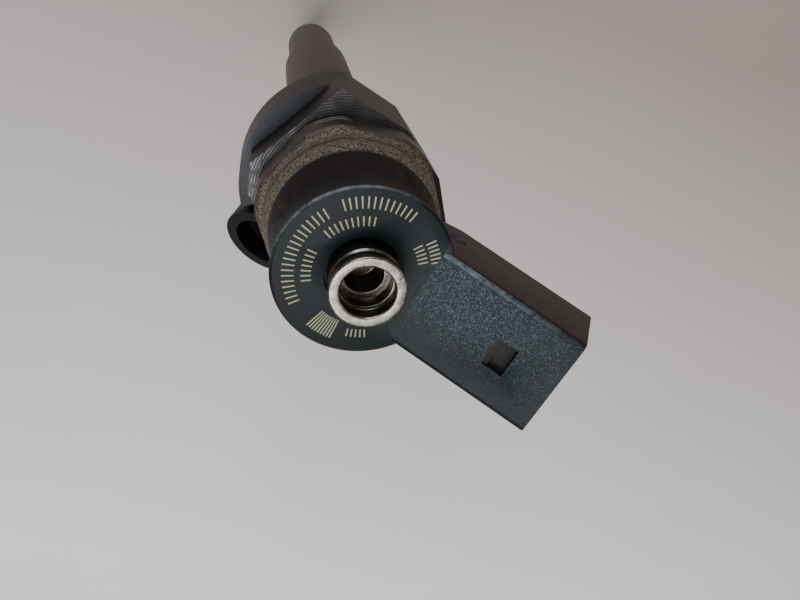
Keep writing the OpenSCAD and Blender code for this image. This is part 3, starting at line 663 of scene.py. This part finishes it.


# ---- Cap and connector ----
# The cap, its neck and the plug shell are one moulding of black glass-filled polyamide over the
# magnet. The tool's spark-eroded face leaves a grain on the shell, shown with painted glints; the
# cap's disc is smoother, and a stretch of its rim has a painted highlight in patches like wear
# from rubbing.

def glass_filled_polyamide(crease, top, half_width, tilt, rim_radius):
    """Black polyamide with short glass: painted glints for a fine glitter on the shell's top that
    dies away to one side, sparse ones on the cap, smooth sides in a painted brown reflection of
    the table, and a painted highlight on edges in patches like wear from rubbing."""
    finish, tree, shader, place = start_finish("glass_filled_polyamide", "#151a1c", 0.0, 0.42)
    shader.inputs["Specular IOR Level"].default_value = 0.17
    axes = add(tree, "SeparateXYZ", {0: place})
    normal = add(tree, "NewGeometry").outputs["Normal"]
    facing = add(tree, "SeparateXYZ", {0: normal})
    # Painted glints on the shell: past the crease, on faces that look up, fading sideways and
    # outwards.
    past = add(tree, "MapRange", {
        "Value": axes.outputs["X"], "From Min": crease - 0.2 * MM,
        "From Max": crease + 0.3 * MM}).outputs[0]
    upward = add(tree, "MapRange", {
        "Value": facing.outputs["Z"], "From Min": math.cos(tilt) - 0.2,
        "From Max": math.cos(tilt) - 0.05}).outputs[0]
    across = add(tree, "MapRange", {
        "Value": axes.outputs["Y"], "From Min": -0.85 * half_width, "From Max": 0.1 * half_width,
        "To Min": 0.12}).outputs[0]
    shell = add(tree, "Math", {0: past, 1: upward}, operation="MULTIPLY").outputs[0]
    shell = add(tree, "Math", {0: shell, 1: across}, operation="MULTIPLY").outputs[0]
    outward = add(tree, "MapRange", {
        "Value": axes.outputs["X"], "From Min": 2 * crease, "From Max": 4 * crease,
        "To Min": 1.0, "To Max": 0.4}).outputs[0]
    shell = add(tree, "Math", {0: shell, 1: outward}, operation="MULTIPLY").outputs[0]
    # Each crater has a chance of its own, and the few past the limit get painted glints.
    grain_size = 0.11 * MM                        # spark craters, drawn coarse enough to show
    craters = add(tree, "TexVoronoi", {"Vector": place, "Scale": 1 / grain_size})
    chance = add(tree, "SeparateColor", {0: craters.outputs["Color"]})
    cloud = add(tree, "TexNoise", {"Vector": place, "Scale": 1 / (5 * MM),
                                   "Detail": 5.0}).outputs[0]
    least = add(tree, "MapRange", {"Value": shell, "To Min": 0.985, "To Max": 0.70}).outputs[0]
    painted_glint = add(tree, "Math", {0: chance.outputs[0], 1: least}, operation="SUBTRACT").outputs[0]
    painted_glint = add(tree, "MapRange", {"Value": painted_glint, "From Max": 0.3, "To Max": 0.8}).outputs[0]
    # Cold black on the cap and on faces that look up; on the sides a painted brown reflection of
    # the table.
    cold = add(tree, "Mix", {0: cloud, 6: linear("#081113"), 7: linear("#101a1d")},
               data_type="RGBA")
    side = add(tree, "Mix", {0: cloud, 6: linear("#14100f"), 7: linear("#231d1a")},
               data_type="RGBA")
    neck = add(tree, "MapRange", {
        "Value": axes.outputs["Z"], "From Min": top - 9.8 * MM,
        "From Max": top - 9.2 * MM}).outputs[0]
    neck = add(tree, "Math", {0: neck, 1: past}, operation="SUBTRACT", use_clamp=True).outputs[0]
    cool = add(tree, "Math", {0: neck, 1: upward}, operation="MAXIMUM").outputs[0]
    base = add(tree, "Mix", {0: cool, 6: side.outputs[2], 7: cold.outputs[2]}, data_type="RGBA")
    # Painted sheen: a bluer tint over the shell where its painted glints are.
    veil = add(tree, "Math", {0: shell, 1: 0.55}, operation="MULTIPLY").outputs[0]
    base = add(tree, "Mix", {0: veil, 6: base.outputs[2], 7: linear("#13212a")}, data_type="RGBA")
    # Whatever lies below the shell's top face gets the sides' painted brown reflection and no
    # glints.
    shell_normal = (-math.sin(tilt), 0, math.cos(tilt))
    rise = add(tree, "VectorMath", {0: place, 1: shell_normal},
               operation="DOT_PRODUCT").outputs["Value"]
    level = top * math.cos(tilt) - crease * math.sin(tilt)
    sunk = add(tree, "MapRange", {
        "Value": rise, "From Min": level - 0.3 * MM, "From Max": level - 0.45 * MM}).outputs[0]
    painted_glint = add(tree, "Math", {0: painted_glint, 1: sunk}, operation="SUBTRACT", use_clamp=True).outputs[0]
    base = add(tree, "Mix", {0: sunk, 6: base.outputs[2], 7: side.outputs[2]}, data_type="RGBA")
    tone = add(tree, "Mix", {0: painted_glint, 6: base.outputs[2], 7: linear("#5f757f")}, data_type="RGBA")
    # Painted highlight in patches like wear from rubbing: the shell's long rounded edge near the
    # cap, and one stretch of the disc's rim.
    lifted = add(tree, "VectorMath", {0: normal, 1: shell_normal},
                 operation="DOT_PRODUCT").outputs["Value"]
    lifted = add(tree, "MapRange", {"Value": lifted, "From Min": 0.35, "From Max": 0.6}).outputs[0]
    sideways = add(tree, "MapRange", {
        "Value": facing.outputs["Y"], "From Min": 0.15, "From Max": 0.4}).outputs[0]
    edge = add(tree, "Math", {0: lifted, 1: sideways}, operation="MULTIPLY").outputs[0]
    near_cap = add(tree, "MapRange", {
        "Value": axes.outputs["X"], "From Min": 1.5 * crease, "From Max": 3.2 * crease,
        "To Min": 1.0, "To Max": 0.15}).outputs[0]
    edge = add(tree, "Math", {0: edge, 1: past}, operation="MULTIPLY").outputs[0]
    edge = add(tree, "Math", {0: edge, 1: near_cap}, operation="MULTIPLY").outputs[0]
    flat = add(tree, "VectorMath", {0: place, 1: (1, 1, 0)}, operation="MULTIPLY").outputs[0]
    radius = add(tree, "VectorMath", {0: flat}, operation="LENGTH").outputs["Value"]
    rim = add(tree, "MapRange", {
        "Value": radius, "From Min": rim_radius - 0.42 * MM,
        "From Max": rim_radius - 0.2 * MM}).outputs[0]
    high = add(tree, "MapRange", {
        "Value": axes.outputs["Z"], "From Min": top - 0.5 * MM,
        "From Max": top - 0.3 * MM}).outputs[0]
    rim = add(tree, "Math", {0: rim, 1: high}, operation="MULTIPLY").outputs[0]
    rim = add(tree, "Math", {0: rim, 1: past}, operation="SUBTRACT", use_clamp=True).outputs[0]
    highlit_rim_side = add(tree, "VectorMath", {0: flat, 1: (-0.75, 0.66, 0)}, operation="DOT_PRODUCT")
    highlit_rim_side = add(tree, "MapRange", {
        "Value": highlit_rim_side.outputs["Value"], "From Min": 6 * MM, "From Max": 12 * MM}).outputs[0]
    rim = add(tree, "Math", {0: rim, 1: highlit_rim_side}, operation="MULTIPLY").outputs[0]
    edge = add(tree, "Math", {0: edge, 1: rim}, operation="MAXIMUM").outputs[0]
    scuff = add(tree, "TexNoise", {"Vector": place, "Scale": 1 / (1.6 * MM), "Detail": 8.0,
                                   "Roughness": 0.8}).outputs[0]
    scuff = add(tree, "MapRange", {"Value": scuff, "From Min": 0.34, "From Max": 0.66}).outputs[0]
    wear_and_highlight = add(tree, "Math", {0: edge, 1: scuff}, operation="MULTIPLY").outputs[0]
    wear_and_highlight = add(tree, "Math", {0: wear_and_highlight, 1: 0.7}, operation="MULTIPLY").outputs[0]
    # The pale colour is a painted highlight, broken up like wear.
    tone = add(tree, "Mix", {0: wear_and_highlight, 6: tone.outputs[2], 7: linear("#8b9396")}, data_type="RGBA")
    tree.links.new(tone.outputs[2], shader.inputs["Base Color"])
    rough = add(tree, "MapRange", {
        "Value": chance.outputs[2], "To Min": 0.38, "To Max": 0.55}).outputs[0]
    tree.links.new(rough, shader.inputs["Roughness"])
    # The craters are deep on the shell and faint elsewhere.
    height = add(tree, "MapRange", {"Value": shell, "To Min": 0.2, "To Max": 1.0}).outputs[0]
    height = add(tree, "Math", {0: craters.outputs["Distance"], 1: height}, operation="MULTIPLY")
    grain = add(tree, "Bump", {"Height": height.outputs[0], "Strength": 0.4, "Distance": 0.03 * MM})
    tree.links.new(grain.outputs[0], shader.inputs["Normal"])
    return finish


def rounded_copy(name, node, radius, steps):
    """A copy of a CAD node with its flat triangles merged, and a round on every sharp edge."""
    work = bmesh.new()
    work.from_mesh(nodes[node].data)
    bmesh.ops.remove_doubles(work, verts=work.verts, dist=0.002 * MM)
    bmesh.ops.dissolve_limit(work, angle_limit=math.radians(1), verts=work.verts, edges=work.edges)
    mesh = bpy.data.meshes.new(name)
    work.to_mesh(mesh)
    work.free()
    mesh.materials.clear()
    mesh.polygons.foreach_set("use_smooth", np.full(len(mesh.polygons), True))
    made = bpy.data.objects.new(name, mesh)
    bpy.context.scene.collection.objects.link(made)
    bevel = made.modifiers.new("edge_round", "BEVEL")
    bevel.width = radius
    bevel.segments = steps
    bevel.limit_method = "ANGLE"
    bevel.angle_limit = math.radians(32)
    bevel.use_clamp_overlap = True
    bevel.harden_normals = True
    return made


crease_x = 8.4 * MM
shell_half = 8.1 * MM
shell_tilt = math.radians(28.6)
disc_radius = 13 * MM
polyamide = glass_filled_polyamide(crease_x, cap_top_z, shell_half, shell_tilt, disc_radius)
cap = rounded_copy("cap_moulding", "connector_cap", radius=0.25 * MM, steps=3)
fit_piece(cap, polyamide, "cap_plastic", "connector_cap")


def arc_strokes(name, strokes, floor_height, height):
    """Short flat bars across arcs, in one mesh, from rows of [radius, azimuth, tall, wide] in
    millimetres and degrees: a bar's corners lie half of tall along the radius and half of wide
    along the arc from its middle, once on the floor and once above it."""
    radius, azimuth, tall, wide = np.array(strokes, float).T[:, :, None]
    out = np.array([-1, 1, 1, -1])
    along = np.array([-1, -1, 1, 1])
    distance = (radius + out * tall / 2) * MM
    angle = np.radians(azimuth) + along * wide / 2 / radius
    corners = np.empty((len(strokes), 2, 4, 3))
    corners[..., 0] = (distance * np.cos(angle))[:, None]
    corners[..., 1] = (distance * np.sin(angle))[:, None]
    corners[..., 2] = np.array([[floor_height], [floor_height + height]])
    bar = np.array([[3, 2, 1, 0], [4, 5, 6, 7], [0, 1, 5, 4], [1, 2, 6, 5], [2, 3, 7, 6],
                    [3, 0, 4, 7]])
    faces = bar + 8 * np.arange(len(strokes))[:, None, None]
    mesh = bpy.data.meshes.new(name)
    mesh.from_pydata(corners.reshape(-1, 3), [], faces.reshape(-1, 4))
    mesh.update()
    made = bpy.data.objects.new(name, mesh)
    bpy.context.scene.collection.objects.link(made)
    return made


def laser_film():
    """The pale yellow-green film that a marking laser leaves, grainy at its edges."""
    finish, tree, shader, place = start_finish("laser_film", "#b9bd8c", 0.0, 0.6)
    grain = add(tree, "TexNoise", {"Vector": place, "Scale": 1 / (0.2 * MM),
                                   "Detail": 3.0}).outputs[0]
    tint = add(tree, "Mix", {0: grain, 6: linear("#6f7358"), 7: linear("#a9ad84")},
               data_type="RGBA")
    tree.links.new(tint.outputs[2], shader.inputs["Base Color"])
    return finish


mark_rows = [                                     # radius, first azimuth, step, count, tall, wide
    [10.7, 80, 4.4, 13, 1.7, 0.22], [10.5, 147, 4.6, 19, 1.7, 0.22],
    [8.0, 108, 5.4, 10, 1.4, 0.22], [8.0, 180, 5.4, 7, 1.4, 0.22],
    [10.3, 36, 3.6, 6, 1.5, 0.22], [8.4, 38, 4.4, 5, 1.4, 0.22],
    [9.6, 284, 3.8, 5, 1.3, 0.22], [9.6, 252, 2.5, 9, 3.2, 0.2]
]
marks = [[radius, first + step * i, tall, wide]
         for radius, first, step, count, tall, wide in mark_rows for i in range(count)]
film_sink = 0.01 * MM                             # into the disc, so that no gap shows
film_height = 0.03 * MM
cap_marks = arc_strokes("cap_marks", marks, cap_top_z - film_sink, film_height)
fit_piece(cap_marks, laser_film(), "cap_plastic")


def oval_bead(name, centre, along, across, out, half_long, half_wide, bead):
    """A bead round an ellipse: the ellipse's point plus a small circle in the plane of the
    ellipse's own direction from its centre and the way out of the wall."""
    t = np.linspace(0, 2 * math.pi, 48, endpoint=False)[:, None, None]
    ring = np.linspace(0, 2 * math.pi, 12, endpoint=False)[None, :, None]
    path = half_long * np.cos(t) * along + half_wide * np.sin(t) * across
    away = path / np.linalg.norm(path, axis=-1, keepdims=True)
    points = centre + path + bead * (np.cos(ring) * away + np.sin(ring) * out)
    return grid_mesh(name, points, close_u=True, close_v=True)


shell_along = np.array([math.cos(shell_tilt), 0, math.sin(shell_tilt)])
shell_up = np.array([-math.sin(shell_tilt), 0, math.cos(shell_tilt)])
shell_side = np.array([0.0, 1.0, 0.0])
oval_drop = 9.7 * MM                              # below the crease, down the shell's side
oval_centre = np.array([crease_x, shell_half - 0.02 * MM, cap_top_z]) - oval_drop * shell_up
oval = oval_bead("shell_oval", oval_centre, shell_along, shell_up, shell_side,
                 half_long=1.25 * MM, half_wide=0.55 * MM, bead=0.14 * MM)
fit_piece(oval, polyamide, "cap_plastic")


def tinned_bronze():
    """Tinned bronze strip: warm grey and shiny, with small bright scuffs."""
    finish, tree, shader, place = start_finish("tinned_bronze", "#b9b4a6", 1.0, 0.3)
    scuff = add(tree, "TexNoise", {"Vector": place, "Scale": 1 / (0.6 * MM),
                                   "Detail": 5.0}).outputs[0]
    tint = add(tree, "Mix", {0: scuff, 6: linear("#98927f"), 7: linear("#d2cec2")},
               data_type="RGBA")
    tree.links.new(tint.outputs[2], shader.inputs["Base Color"])
    return finish


tin = tinned_bronze()
dress("terminal_left", tin)
dress("terminal_right", tin)
